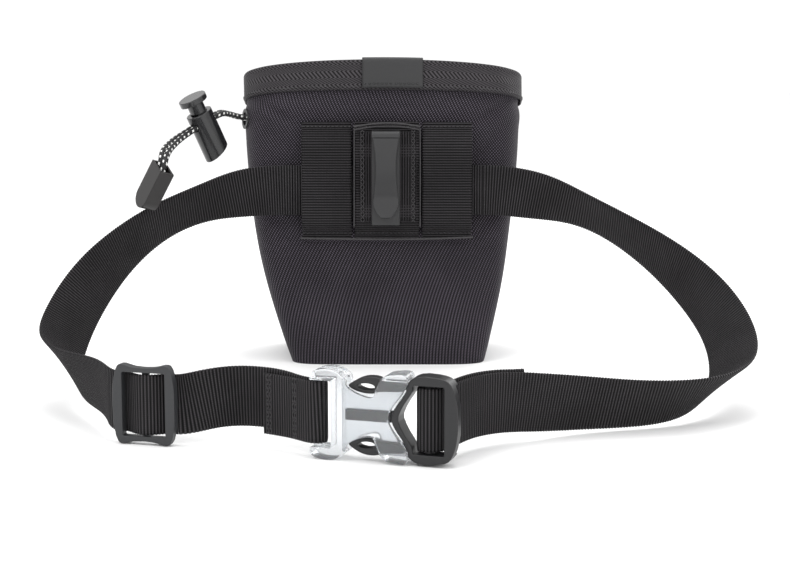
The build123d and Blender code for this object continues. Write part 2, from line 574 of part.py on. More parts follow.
# Female buckle: X-shaped clear body, strap bar, side windows and the cavity for the prongs
female_half = [(-28.4, 12.9), (-29.0, 15.4), (-25.2, 17.4), (-18.4, 17.4), (-14.0, 13.8), (-14.4, 11.2),
               (-10.0, 8.6), (-3.4, 7.0), (-2.6, 10.0), (-0.2, 15.4), (3.0, 16.8), (10.9, 17.2), (8.6, 10.0),
               (4.3, 4.8), (2.1, 0.8)]
cavity_left = -16.2
with BuildPart() as buckle_female:
    with BuildSketch(BUCKLE.offset(-BUCKLE_THICK / 2)):
        with BuildLine():
            Polyline(*eased(mirrored(female_half)), close=True)
        make_face()
        with Locations((-32, 0)):
            Rectangle(11.8, 2 * STRAP_SLOT, align=(Align.MIN, Align.CENTER), mode=Mode.SUBTRACT)
    extrude(amount=BUCKLE_THICK)
    with BuildSketch(BUCKLE.offset(-CAVITY_HALF_THICK)):
        with Locations((cavity_left, 0)):
            Rectangle(40, 2 * CAVITY_HALF_HEIGHT, align=(Align.MIN, Align.CENTER))
    extrude(amount=2 * CAVITY_HALF_THICK, mode=Mode.SUBTRACT)
    with BuildSketch(Plane(origin=BUCKLE_CENTRE + BUCKLE.x_dir * BAR_U - Vector(0, 0, STRAP_SLOT + 0.5),
                           x_dir=BUCKLE.x_dir, z_dir=(0, 0, 1))):
        Circle(BAR_RADIUS)
    extrude(amount=2 * STRAP_SLOT + 1)
save(buckle_female.part, "buckle_female")

# Male buckle: crescent, side rails, outer flange, ladder bar and guide blade
male_half = [(3.4, 1.0), (5.2, 4.6), (9.2, 9.8), (10.9, 16.9), (24.6, 16.4), (27.6, 12.6), (29.0, 7.0),
             (29.4, 2.0)]
window_half = [(6.3, 1.0), (7.3, 3.4), (8.7, 5.9), (10.4, 8.4), (11.6, 10.4), (12.0, 13.0), (24.0, 13.0),
               (24.0, 1.0)]
with BuildPart() as buckle_male:
    with BuildSketch(BUCKLE.offset(-MALE_THICK / 2)):
        with BuildLine():
            Polyline(*eased(mirrored(male_half)), close=True)
        make_face()
        with BuildLine():
            Polyline(*mirrored(window_half), close=True)
        make_face(mode=Mode.SUBTRACT)
    extrude(amount=MALE_THICK)
    with BuildSketch(BUCKLE.offset(-MALE_THICK / 2 - 1)):
        with Locations((20, 0)):
            Rectangle(14, 26, align=(Align.MIN, Align.CENTER))
    extrude(amount=MALE_THICK / 2, mode=Mode.SUBTRACT)
    with BuildSketch(Plane(origin=BUCKLE_CENTRE + BUCKLE.x_dir * LADDER_U - Vector(0, 0, 13.4),
                           x_dir=BUCKLE.x_dir, z_dir=(0, 0, 1))):
        Circle(LADDER_RADIUS)
    extrude(amount=26.8)
    with BuildSketch(BUCKLE.offset(-1.4)):
        with Locations((-15.4, 0)):
            Rectangle(20.4, 4.2, align=(Align.MIN, Align.CENTER))
    extrude(amount=2.8)
save(buckle_male.part, "buckle_male")

prong_outline = [(PRONG_ROOT_U - 0.9, 13.4), (0.5, 13.6), (-3.4, 15.2), (-8.4, 14.8), (-12.6, 12.6),
                 (-14.4, 11.0), (-10.4, 9.0), (-4.6, 8.3), (-1.4, 9.8), (8.9, 10.0)]
prong_hole = [(-11.4, 11.3), (-7.6, 12.6), (-3.6, 12.0), (-3.4, 10.2), (-7.4, 9.7)]
for label, side in (("buckle_prong_upper", 1), ("buckle_prong_lower", -1)):
    with BuildPart() as prong:
        with BuildSketch(BUCKLE.offset(-PRONG_THICK / 2)):
            with BuildLine():
                Polyline(*eased([(along, side * up) for along, up in prong_outline]), close=True)
            make_face()
            with BuildLine():
                Polyline(*eased([(along, side * up) for along, up in prong_hole]), close=True)
            make_face(mode=Mode.SUBTRACT)
        extrude(amount=PRONG_THICK)
    save(prong.part, label)

# Slider: horned frame with a middle bar
glide_half = [(-9.0, 16.2), (-11.4, 15.2), (-13.0, 8.0), (-13.2, 1.0)]
glide_outline = mirrored([(9.0, 16.2), (5.0, 14.9), (0.0, 14.6), (-5.0, 14.9)] + glide_half)
glide_outline = glide_outline + [(11.4, -15.2), (13.0, -8.0), (13.2, 0.0), (13.0, 8.0), (11.4, 15.2)]
with BuildPart() as belt_slider:
    with BuildSketch(GLIDE.offset(-0.7)):
        with BuildLine():
            Polyline(*eased(glide_outline), close=True)
        make_face()
        Rectangle(2 * GLIDE_WINDOW, 25.4, mode=Mode.SUBTRACT)
    extrude(amount=4.0)
    with BuildSketch(Plane(origin=GLIDE_CENTRE - Vector(0, 0, 13.5), x_dir=GLIDE.x_dir, z_dir=(0, 0, 1))):
        Circle(GLIDE_BAR)
    extrude(amount=27)
save(belt_slider.part, "belt_slider")
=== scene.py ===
import math

import bmesh
import bpy
import numpy as np
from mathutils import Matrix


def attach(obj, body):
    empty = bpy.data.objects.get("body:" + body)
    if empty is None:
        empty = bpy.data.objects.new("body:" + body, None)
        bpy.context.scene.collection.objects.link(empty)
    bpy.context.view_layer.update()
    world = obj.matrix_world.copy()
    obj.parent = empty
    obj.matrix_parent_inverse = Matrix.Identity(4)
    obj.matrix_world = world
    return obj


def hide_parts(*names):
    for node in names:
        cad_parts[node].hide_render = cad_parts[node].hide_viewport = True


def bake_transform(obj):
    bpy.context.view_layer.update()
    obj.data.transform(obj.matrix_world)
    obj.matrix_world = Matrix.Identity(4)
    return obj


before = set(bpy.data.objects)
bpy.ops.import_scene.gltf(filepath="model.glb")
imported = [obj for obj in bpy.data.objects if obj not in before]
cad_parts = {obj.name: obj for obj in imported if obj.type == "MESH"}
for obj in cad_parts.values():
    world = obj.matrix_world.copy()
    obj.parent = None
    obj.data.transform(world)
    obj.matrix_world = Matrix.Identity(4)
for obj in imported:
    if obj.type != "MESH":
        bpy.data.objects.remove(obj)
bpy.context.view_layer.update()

MM = 0.001

# Sizes shared with the CAD model, in metres
BASE_HALF_WIDTH = 48.3 * MM
BASE_HALF_DEPTH = 34.0 * MM
RIM_HALF_WIDTH = 68.5 * MM
RIM_HALF_DEPTH = 36.0 * MM
RIM_HEIGHT = 138.2 * MM
RIM_SIDE_SHIFT = -2.8 * MM
RIM_TILT = math.radians(13.0)
FLAT_HEIGHT = 6.0 * MM
WIDENING = 2.2
CORNER_BASE = 7.0
CORNER_RIM = 2.1
CORNER_CHANGE = 1.5
WALL = 1.8 * MM
STRAP_WIDTH = 25.0 * MM
STRAP_THICK = 1.6 * MM
CORD_DIAMETER = 2.8 * MM
BINDING_DROP = 11.2 * MM

# Sizes of the visual model alone, in metres
RIM_TOP = RIM_HEIGHT + 3.0 * MM        # top of the rolled binding
RIB_PITCH = 1.27 * MM                  # from one rib of the webbing to the next
WEAVE_PITCH = 1.55 * MM                # of each diagonal of the pouch fabric
YARN_PITCH = 0.75 * MM                 # of the yarns across a rib
TWILL_PITCH = 1.15 * MM
TWILL_BAND = 3.0 * MM                  # width of one leg of the herringbone
BRAID_PITCH = 1.15 * MM
FLECK_PITCH = 3.4 * MM
GRAIN_DEPTH = 0.04 * MM
LINING_FLOOR = 3.6 * MM
TAPE_OUT = 1.25 * MM                   # the binding stands this far off each face of the wall
OUTLINE_COUNT = 720                    # points of an outline that others are read from

# ---------------------------------------------------------------- camera

camera_data = bpy.data.cameras.new("camera")
camera_data.sensor_width = 36.0
camera_data.lens = 74.05
camera = bpy.data.objects.new("camera", camera_data)
camera.location = (0.0034, -0.822, 0.152)
camera.rotation_euler = (math.radians(90.0 - 8.1), 0, 0)
bpy.context.scene.collection.objects.link(camera)
bpy.context.scene.camera = camera
bpy.context.scene.view_settings.view_transform = "Standard"


# ---------------------------------------------------------------- materials

class Shader:
    """Short way to write one node material."""

    def __init__(self, name, color, roughness, metallic=0.0, sheen=0.0, coat=0.0, shine=0.5):
        self.material = bpy.data.materials.new(name)
        self.material.use_nodes = True
        self.tree = self.material.node_tree
        self.tree.nodes.clear()
        output = self.tree.nodes.new("ShaderNodeOutputMaterial")
        self.body = self.tree.nodes.new("ShaderNodeBsdfPrincipled")
        self.tree.links.new(self.body.outputs[0], output.inputs[0])
        self.body.inputs["Base Color"].default_value = (*color, 1)
        self.body.inputs["Roughness"].default_value = roughness
        self.body.inputs["Metallic"].default_value = metallic
        self.body.inputs["Sheen Weight"].default_value = sheen
        self.body.inputs["Sheen Roughness"].default_value = 0.45
        self.body.inputs["Specular IOR Level"].default_value = shine
        self.body.inputs["Coat Weight"].default_value = coat

    def feed(self, socket, value):
        """Link a node's output to a socket, or set the socket to a number."""
        if isinstance(value, bpy.types.NodeSocket):
            self.tree.links.new(value, socket)
        else:
            socket.default_value = value

    def math(self, operation, a, b=0.0):
        """Output of one arithmetic node."""
        node = self.tree.nodes.new("ShaderNodeMath")
        node.operation = operation
        self.feed(node.inputs[0], a)
        self.feed(node.inputs[1], b)
        return node.outputs[0]

    def uv(self):
        """Cloth coordinates in metres: along and across."""
        node = self.tree.nodes.new("ShaderNodeTexCoord")
        split = self.tree.nodes.new("ShaderNodeSeparateXYZ")
        self.tree.links.new(node.outputs["UV"], split.inputs[0])
        return split.outputs[0], split.outputs[1]

    def noise(self, scale, detail=3.0):
        """Soft noise over the piece's own coordinates, from 0 to 1."""
        place = self.tree.nodes.new("ShaderNodeTexCoord")
        node = self.tree.nodes.new("ShaderNodeTexNoise")
        self.tree.links.new(place.outputs["Object"], node.inputs["Vector"])
        node.inputs["Scale"].default_value = scale
        node.inputs["Detail"].default_value = detail
        return node.outputs[0]

    def wave(self, value, pitch, phase=0.0):
        """Sine of a coordinate in metres with the given pitch, from 0 to 1."""
        turned = self.math("MULTIPLY", value, 2 * math.pi / pitch)
        sine = self.math("SINE", self.math("ADD", turned, phase))
        return self.math("ADD", self.math("MULTIPLY", sine, 0.5), 0.5)

    def tint(self, factor, dark, light):
        """Base colour between two colours by a 0 to 1 factor."""
        mix = self.tree.nodes.new("ShaderNodeMix")
        mix.data_type = "RGBA"
        self.tree.links.new(factor, mix.inputs[0])
        mix.inputs[6].default_value = (*dark, 1)
        mix.inputs[7].default_value = (*light, 1)
        self.tree.links.new(mix.outputs[2], self.body.inputs["Base Color"])

    def bump(self, height, distance, strength=1.0):
        """Surface relief from a 0 to 1 height, with its depth in metres."""
        node = self.tree.nodes.new("ShaderNodeBump")
        node.inputs["Strength"].default_value = strength
        node.inputs["Distance"].default_value = distance
        self.tree.links.new(height, node.inputs["Height"])
        self.tree.links.new(node.outputs[0], self.body.inputs["Normal"])


def pouch_fabric():
    """Coarse oxford weave: a lattice of yarn floats, lighter on the floats and darker in the gaps as
    painted highlight and painted shade, with a soft noise varying the tone at random.
    """
    shader = Shader("pouch_fabric", (0.02, 0.019, 0.022), 0.6, sheen=0.02, shine=0.12)
    along, across = shader.uv()
    warp = shader.wave(shader.math("ADD", along, across), WEAVE_PITCH)
    weft = shader.wave(shader.math("SUBTRACT", along, across), WEAVE_PITCH)
    weave = shader.math("MULTIPLY", warp, weft)
    patchy = shader.noise(28.0)
    painted_light_and_tone = shader.math("MULTIPLY", weave, shader.math("ADD", patchy, 0.45))
    # Painted highlight on the raised yarn floats and painted shade in the gaps, from the same height as the
    # bump; the soft noise varies the tone at random.
    shader.tint(painted_light_and_tone, (0.0008, 0.0007, 0.001), (0.125, 0.108, 0.136))
    shader.bump(weave, 0.0003, 1.0)
    return shader.material


def webbing(name, dark, light):
    """Ribbed nylon webbing: slanted yarns over ribs that keep step with the modelled ones, lighter on the
    rib tops and darker between them as painted highlight and painted shade, with a soft noise varying the
    tone at random.
    """
    shader = Shader(name, dark, 0.5, sheen=0.02, shine=0.12)
    along, across = shader.uv()
    ribs = shader.wave(along, RIB_PITCH, -math.pi / 2)
    yarn = shader.wave(shader.math("ADD", across, shader.math("MULTIPLY", along, 0.6)), YARN_PITCH)
    weave = shader.math("MULTIPLY", shader.math("POWER", ribs, 1.3),
                        shader.math("ADD", shader.math("MULTIPLY", yarn, 0.6), 0.4))
    painted_light_and_tone = shader.math("MULTIPLY", weave, shader.math("ADD", shader.noise(40.0), 0.4))
    # Painted highlight on the rib tops and yarns, painted shade between them, from the same height as the
    # bump.
    shader.tint(painted_light_and_tone, dark, light)
    shader.bump(weave, 0.00020, 0.8)
    return shader.material


def twill(name, dark, light):
    """Herringbone binding tape, its rows lighter on their raised tops and darker between them as painted
    highlight and painted shade.
    """
    shader = Shader(name, dark, 0.6, sheen=0.02, shine=0.12)
    along, across = shader.uv()
    band = shader.math("PINGPONG", across, TWILL_BAND)
    rows = shader.wave(shader.math("ADD", shader.math("MULTIPLY", along, 0.55), band), TWILL_PITCH)
    # Painted highlight on the raised rows and painted shade between them, from the same height as the bump.
    shader.tint(rows, dark, light)
    shader.bump(rows, 0.00018, 0.8)
    return shader.material


def plain(name, color, roughness, metallic=0.0, coat=0.0, grain=0.0, grain_scale=900.0, shine=0.4):
    """Moulded or painted surface with a fine grain."""
    shader = Shader(name, color, roughness, metallic=metallic, coat=coat, shine=shine)
    patchy = shader.noise(grain_scale, 4.0)
    darker = tuple(channel * (1 - grain) for channel in color)
    lighter = tuple(channel * (1 + grain) for channel in color)
    shader.tint(patchy, darker, lighter)
    shader.bump(patchy, GRAIN_DEPTH, 0.5)
    return shader.material


def frosted():
    """Clear moulded plastic, cloudy inside."""
    shader = Shader("frosted_clear", (0.78, 0.80, 0.82), 0.22)
    shader.body.inputs["Transmission Weight"].default_value = 0.94
    shader.body.inputs["IOR"].default_value = 1.38
    shader.body.inputs["Subsurface Weight"].default_value = 0.05
    shader.body.inputs["Subsurface Scale"].default_value = 0.004
    shader.body.inputs["Specular IOR Level"].default_value = 0.6
    shader.bump(shader.noise(260.0, 2.0), 0.00010, 0.35)
    return shader.material


def braided_cord():
    """Black braid with four rows of white reflective flecks around it."""
    shader = Shader("braided_cord", (0.012, 0.012, 0.013), 0.6, sheen=0.05, shine=0.3)
    along, around = shader.uv()
    turn = shader.math("MULTIPLY", around, 1.2 * MM)
    one = shader.wave(shader.math("ADD", along, turn), BRAID_PITCH)
    two = shader.wave(shader.math("SUBTRACT", along, turn), BRAID_PITCH)
    braid = shader.math("MULTIPLY", one, two)
    shader.bump(braid, 0.00025, 1.0)
    beat = shader.math("FRACT", shader.math("ADD", shader.math("DIVIDE", along, FLECK_PITCH), around))
    dash = shader.math("LESS_THAN", beat, 0.36)
    rows = shader.math("FRACT", shader.math("MULTIPLY", around, 4.0))
    fleck = shader.math("MULTIPLY", dash, shader.math("LESS_THAN", rows, 0.42))
    shader.tint(fleck, (0.012, 0.012, 0.013), (0.80, 0.80, 0.78))
    return shader.material


FABRIC = pouch_fabric()
# The light colours of both webbings are painted highlights on the rib tops; the dark ones are painted shade
# between the ribs.
WEBBING = webbing("belt_webbing", (0.0003, 0.0003, 0.0004), (0.060, 0.056, 0.060))
LOOP_WEBBING = webbing("loop_webbing", (0.0003, 0.0003, 0.0004), (0.050, 0.046, 0.050))
# The tape's light colour is painted highlight on the raised twill rows; its dark colour is painted shade
# between them.
TAPE = twill("binding_tape", (0.0025, 0.0023, 0.0025), (0.062, 0.057, 0.062))
LINING = plain("lining_cloth", (0.022, 0.022, 0.024), 0.7, grain=0.3, grain_scale=500.0, shine=0.2)
PATCH = plain("coated_patch", (0.022, 0.022, 0.023), 0.55, grain=0.15, grain_scale=1400.0)
THREAD = plain("black_thread", (0.030, 0.028, 0.030), 0.45, grain=0.3, shine=0.4)
CLIP_METAL = plain("black_clip", (0.028, 0.028, 0.029), 0.42, metallic=0.2, grain=0.12, grain_scale=2600.0)
LOCK_GLOSS = plain("lock_gloss", (0.010, 0.010, 0.011), 0.22, coat=0.4, grain=0.1)
SPRING = plain("spring_wire", (0.62, 0.62, 0.63), 0.3, metallic=1.0)
END_GREY = plain("end_grey", (0.013, 0.0115, 0.0115), 0.40, grain=0.2)
BUCKLE_BLACK = plain("buckle_black", (0.011, 0.011, 0.012), 0.36, grain=0.15)
SLIDER_GREY = plain("slider_grey", (0.026, 0.027, 0.029), 0.45, grain=0.18, grain_scale=1600.0)
CLEAR = frosted()
CORD = braided_cord()


# ---------------------------------------------------------------- mesh helpers

def mesh_piece(name, verts, faces, material, uvs=None, smooth=True):
    """New mesh object; uvs gives one (u, v) for each vertex of each face, in order."""
    mesh = bpy.data.meshes.new(name)
    mesh.from_pydata([tuple(v) for v in verts], [], faces)
    if uvs is not None:
        layer = mesh.uv_layers.new(name="cloth")
        flat = [value for pair in uvs for value in pair]
        layer.data.foreach_set("uv", flat)
    mesh.materials.append(material)
    if smooth:
        mesh.polygons.foreach_set("use_smooth", [True] * len(mesh.polygons))
    mesh.update()
    piece = bpy.data.objects.new(name, mesh)
    bpy.context.scene.collection.objects.link(piece)
    return piece


def grid_piece(name, grid, uv_grid, material, wrap=False):
    """Mesh from a grid of points [row][column]; wrap joins the last column to the first."""
    rows, columns = grid.shape[0], grid.shape[1]
    verts = grid.reshape(-1, 3)
    faces = []
    uvs = []
    last = columns if wrap else columns - 1
    for row in range(rows - 1):
        for column in range(last):
            after = (column + 1) % columns
            corners = [(row, column), (row, after), (row + 1, after), (row + 1, column)]
            faces.append([r * columns + c for r, c in corners])
            for r, c in corners:
                u, v = uv_grid[r][c]
                if wrap and c == 0 and column == columns - 1:
                    u = uv_grid[r][columns - 1][0] + (uv_grid[r][1][0] - uv_grid[r][0][0])
                uvs.append((u, v))
    return mesh_piece(name, verts, faces, material, uvs)


def clamped_spline(points, start, end, count):
    """Smooth curve through points, with given end directions, sampled evenly along its length."""
    points = np.array(points, float)
    chord = np.linalg.norm(np.diff(points, axis=0), axis=1)
    size = len(points)
    matrix = np.zeros((size, size))
    right = np.zeros((size, 3))
    matrix[0, 0] = matrix[-1, -1] = 1
    right[0] = np.array(start) / np.linalg.norm(start)
    right[-1] = np.array(end) / np.linalg.norm(end)
    for i in range(1, size - 1):
        before, after = chord[i - 1], chord[i]
        matrix[i, i - 1], matrix[i, i], matrix[i, i + 1] = after, 2 * (before + after), before
        right[i] = 3 * (after / before * (points[i] - points[i - 1])
                        + before / after * (points[i + 1] - points[i]))
    slopes = np.linalg.solve(matrix, right)
    dense = []
    for i in range(size - 1):
        for t in np.linspace(0, 1, 40, endpoint=False):
            h = chord[i]
            dense.append((2 * t**3 - 3 * t**2 + 1) * points[i] + (t**3 - 2 * t**2 + t) * h * slopes[i]
                         + (3 * t**2 - 2 * t**3) * points[i + 1] + (t**3 - t**2) * h * slopes[i + 1])
    dense.append(points[-1])
    dense = np.array(dense)
    lengths = np.concatenate([[0], np.cumsum(np.linalg.norm(np.diff(dense, axis=0), axis=1))])
    wanted = np.linspace(0, lengths[-1], count)
    return np.stack([np.interp(wanted, lengths, dense[:, k]) for k in range(3)], 1), lengths[-1]


def strap_frames(route, start, end, width, first=0.0, last=1.0, step=RIB_PITCH / 8):
    """Centres, travel, width and face directions along a strap, and the distance at each."""
    centres = np.array([c for c, w in route]) * MM
    wide = np.array([np.array(w) / np.linalg.norm(w) for c, w in route])
    upper = centres + wide * width / 2
    length = clamped_spline(centres, start, end, 2)[1]
    count = int(length / step) + 1
    middle = clamped_spline(centres, start, end, count)[0]
    edge = clamped_spline(upper, start, end, count)[0]
    low, high = int(first * (count - 1)), int(last * (count - 1)) + 1
    travel = np.gradient(middle, axis=0)
    travel /= np.linalg.norm(travel, axis=1)[:, None]
    across = edge - middle
    across -= travel * (across * travel).sum(1)[:, None]
    across /= np.linalg.norm(across, axis=1)[:, None]
    face = np.cross(travel, across)
    distance = np.linspace(0, length, count)
    cut = slice(low, high)
    return middle[cut], travel[cut], across[cut], face[cut], distance[cut]


def strap(name, frames, material, width=STRAP_WIDTH, thick=STRAP_THICK):
    """Ribbed webbing: a closed band whose ribs run across it, with softly scalloped edges."""
    middle, travel, across, face, distance = frames
    beat = np.abs(np.sin(math.pi * distance / RIB_PITCH))
    columns = 26
    half = width / 2
    profile = []
    for side in (1, -1):
        for index in range(columns):
            share = (index + 0.5) / columns * 2 - 1
            profile.append((share * side, side))
    grid = []
    uv_grid = []
    for i in range(len(middle)):
        row = []
        uv_row = []
        for share, side in profile:
            taper = math.sqrt(max(0.0, 1 - abs(share) ** 14))
            depth = side * thick / 2 * (0.56 + 0.44 * beat[i]) * max(taper, 0.35)
            wide = share * (half - 0.18 * MM * (1 - beat[i]))
            row.append(middle[i] + across[i] * wide + face[i] * depth)
            uv_row.append((distance[i], share * half))
        grid.append(row)
        uv_grid.append(uv_row)
    piece = grid_piece(name, np.array(grid), uv_grid, material, wrap=True)
    cap_ends(piece, len(profile), len(middle))
    return piece


def cap_ends(piece, columns, rows):
    """Close both ends of a band."""
    shape = bmesh.new()
    shape.from_mesh(piece.data)
    shape.verts.ensure_lookup_table()
    shape.faces.new([shape.verts[i] for i in reversed(range(columns))])
    start = (rows - 1) * columns
    shape.faces.new([shape.verts[start + i] for i in range(columns)])
    bmesh.ops.recalc_face_normals(shape, faces=shape.faces)
    shape.to_mesh(piece.data)
    shape.free()


def stitches(name, spots, body, length=2.2 * MM, radius=0.24 * MM, material=THREAD):
    """Row of thread stitches; each spot is (place, direction, normal)."""
    verts = []
    faces = []
    around, stations = 6, 5
    for place, direction, normal in spots:
        direction = np.array(direction) / np.linalg.norm(direction)
        normal = np.array(normal) / np.linalg.norm(normal)
        side = np.cross(direction, normal)
        base = len(verts)
        for s in range(stations):
            share = s / (stations - 1) * 2 - 1
            swell = radius * (0.45 + 0.55 * math.sqrt(max(0.0, 1 - share * share)))
            lift = 0.12 * MM - 0.30 * MM * share * share
            for a in range(around):
                angle = 2 * math.pi * a / around
                verts.append(np.array(place) + direction * share * length / 2
                             + normal * (lift + swell * math.cos(angle)) + side * swell * math.sin(angle))
        for s in range(stations - 1):
            for a in range(around):
                b = (a + 1) % around
                faces.append([base + s * around + a, base + s * around + b,
                              base + (s + 1) * around + b, base + (s + 1) * around + a])
    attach(mesh_piece(name, verts, faces, material), body)


# ---------------------------------------------------------------- bag shape

def bag_outline(height, grow, count=240):
    """Closed outline of the bag at one height, points evenly spaced, starting at the right side."""
    share = min(max(height / RIM_HEIGHT, 0.0), 1.0)
    half_width = BASE_HALF_WIDTH + (RIM_HALF_WIDTH - BASE_HALF_WIDTH) * (1 - (1 - share) ** WIDENING) + grow
    half_depth = BASE_HALF_DEPTH + (RIM_HALF_DEPTH - BASE_HALF_DEPTH) * share + grow
    power = 2 / (CORNER_RIM + (CORNER_BASE - CORNER_RIM) * (1 - share ** CORNER_CHANGE))
    angles = np.linspace(0, 2 * math.pi, 1441)
    x = RIM_SIDE_SHIFT * share + half_width * np.sign(np.cos(angles)) * np.abs(np.cos(angles)) ** power
    y = half_depth * np.sign(np.sin(angles)) * np.abs(np.sin(angles)) ** power
    lengths = np.concatenate([[0], np.cumsum(np.hypot(np.diff(x), np.diff(y)))])
    wanted = np.linspace(0, lengths[-1], count, endpoint=False)
    x, y = np.interp(wanted, lengths, x), np.interp(wanted, lengths, y)
    tilt = RIM_TILT * min(max(0.0, (height - FLAT_HEIGHT) / (RIM_HEIGHT - FLAT_HEIGHT)), 1.0)
    return np.stack([x, y * math.cos(tilt), height - y * math.sin(tilt)], 1), lengths[-1]


def bag_surface(name, heights, grow, material, shape=None, count=240):
    """Cloth tube along the bag; shape(points, height) may push its points about."""
    grid = []
    uv_grid = []
    for height in heights:
        points, girth = bag_outline(height, grow, count)
        if shape is not None:
            points = shape(points, height)
        grid.append(points)
        uv_grid.append([(girth * c / count, height) for c in range(count)])
    return grid_piece(name, np.array(grid), uv_grid, material, wrap=True)


def outward(points):
    """Level outward direction at each point of an outline."""
    ahead = np.roll(points, -1, 0) - np.roll(points, 1, 0)
    normal = np.stack([ahead[:, 1], -ahead[:, 0], np.zeros(len(points))], 1)
    return normal / np.linalg.norm(normal, axis=1)[:, None]


def crease(points, start, end, width, depth):
    """How far a fold from start to end (x, z on the back wall) pushes each point in."""
    start, end = np.array(start), np.array(end)
    along = end - start
    flat = points[:, [0, 2]]
    share = np.clip(((flat - start) @ along) / (along @ along), 0, 1)
    gap = np.linalg.norm(flat - (start + share[:, None] * along), axis=1)
    fade = np.sin(math.pi * np.clip(share * 0.9 + 0.05, 0, 1))
    back = points[:, 1] < 0
    return depth * np.exp(-(gap / width) ** 2) * fade * back


def cloth_folds(points, height):
    """Soft folds of the wall: a pinch below the binding, creases off the panel, a slump to the left."""
    normal = outward(points)
    share = height / RIM_HEIGHT
    push = -0.7 * MM * math.exp(-((height - 125.5 * MM) / (2.6 * MM)) ** 2) * np.ones(len(points))
    push += 0.5 * MM * math.exp(-((height - 119.0 * MM) / (4.5 * MM)) ** 2)
    for start, end, width, depth in FOLDS:
        push -= crease(points, start, end, width, depth)
    wobble = np.sin(points[:, 0] * 61 + height * 40) * np.cos(points[:, 1] * 47 - height * 55)
    push += 0.45 * MM * wobble * math.sin(math.pi * min(share, 1.0))
    slump = np.array([-1.5 * MM * math.sin(math.pi * min(share, 1.0)), 0, 0])
    return points + normal * push[:, None] + slump


# Each fold's two ends (x, z on the back wall), its width and its depth
FOLDS = [((-0.066, 0.131), (-0.043, 0.117), 2.4 * MM, 1.3 * MM),
         ((0.062, 0.131), (0.043, 0.117), 2.6 * MM, 1.5 * MM),
         ((-0.066, 0.122), (-0.046, 0.103), 3.0 * MM, 0.8 * MM),
         ((0.061, 0.120), (0.044, 0.098), 3.2 * MM, 1.1 * MM),
         ((-0.050, 0.062), (-0.040, 0.022), 5.0 * MM, 0.9 * MM),
         ((0.050, 0.066), (0.044, 0.018), 6.0 * MM, 1.1 * MM),
         ((0.043, 0.062), (0.058, 0.082), 3.0 * MM, 0.9 * MM),
         ((-0.044, 0.062), (-0.060, 0.080), 3.0 * MM, 0.8 * MM),
         ((-0.030, 0.128), (0.030, 0.126), 1.6 * MM, 0.5 * MM),
         ((-0.020, 0.058), (0.030, 0.050), 6.0 * MM, 0.6 * MM)]


def settle(piece, body, slot_name, *nodes):
    """Ride a piece on its body and hide the CAD nodes it stands for; slot_name is not used."""
    if body is not None:
        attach(piece, body)
    if nodes:
        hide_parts(*nodes)


def build_pouch():
    """Outer cloth, lining, binding with its stitching, label and collar."""
    wall = bag_surface("pouch_cloth", np.linspace(0, RIM_HEIGHT, 150), 0, FABRIC, cloth_folds, 360)
    settle(wall, "pouch", "pouch_fabric", "pouch_shell")
    inner = bag_surface("lining_cloth", np.linspace(LINING_FLOOR, RIM_HEIGHT, 60), -WALL, LINING)
    settle(inner, "pouch", "lining_fabric", "pouch_lining")
    floor_points = bag_outline(LINING_FLOOR, -WALL)[0]
    floor = mesh_piece("lining_floor", floor_points, [list(range(len(floor_points)))], LINING, smooth=False)
    settle(floor, "pouch", "lining_fabric")
    build_binding()
    build_label()
    build_collar()


def build_binding():
    """Herringbone tape rolled over the rim, with a row of stitches near its lower edge."""
    low = RIM_HEIGHT - BINDING_DROP
    roll = 1.6 * MM
    outer = TAPE_OUT
    inside = -WALL - TAPE_OUT
    loop = [(low, outer * 0.35), (low + 0.3 * MM, outer * 0.85)]
    loop += [(height, outer) for height in np.linspace(low + 1.0 * MM, RIM_TOP - roll, 12)]
    centre = (outer + inside) / 2
    radius = (outer - inside) / 2
    loop += [(RIM_TOP - roll + roll * math.sin(angle), centre + radius * math.cos(angle))
             for angle in np.linspace(0.15, math.pi - 0.15, 12)]
    loop += [(height, inside) for height in np.linspace(RIM_TOP - roll, low, 8)]
    grid = []
    uv_grid = []
    run = 0.0
    count = 300
    turn = np.arange(count) * 2 * math.pi
    ripple = np.sin(turn * 23 / count) + np.sin(turn * 9 / count)
    for index, (height, grow) in enumerate(loop):
        points, girth = bag_outline(height, grow, count)
        if index:
            run += math.hypot(height - loop[index - 1][0], grow - loop[index - 1][1])
        points = points + outward(points) * (0.10 * MM * ripple)[:, None]
        grid.append(points)
        uv_grid.append([(girth * c / count, run) for c in range(count)])
    tape = grid_piece("rim_tape", np.array(grid), uv_grid, TAPE, wrap=True)
    settle(tape, "pouch", "binding_tape", "rim_binding")

    points = bag_outline(low + 1.6 * MM, outer, 150)[0]
    ahead = np.roll(points, -1, 0) - np.roll(points, 1, 0)
    stitches("rim_stitching", list(zip(points, ahead, outward(points))), "pouch")


def back_wall(height, grow):
    """Outline of the bag's back wall at one height, from left to right."""
    outline = bag_outline(height, grow, OUTLINE_COUNT)[0]
    back = outline[outline[:, 1] < 0]
    return back[np.argsort(back[:, 0])]


def back_patch(name, x0, x1, heights, grows, material):
    """Patch over the back wall between two x values, along a path of (height, grow)."""
    xs = np.linspace(x0, x1, 24)
    grid = []
    uv_grid = []
    run = 0.0
    for index, (height, grow) in enumerate(zip(heights, grows)):
        back = back_wall(height, grow)
        if index:
            run += math.hypot(height - heights[index - 1], grow - grows[index - 1])
        grid.append(np.stack([xs, np.interp(xs, back[:, 0], back[:, 1]),
                              np.interp(xs, back[:, 0], back[:, 2])], 1))
        uv_grid.append([(x, run) for x in xs])
    piece = grid_piece(name, np.array(grid), uv_grid, material)
    solid = piece.modifiers.new("thickness", "SOLIDIFY")
    solid.thickness = 0.7 * MM
    solid.offset = 1.0
    return piece


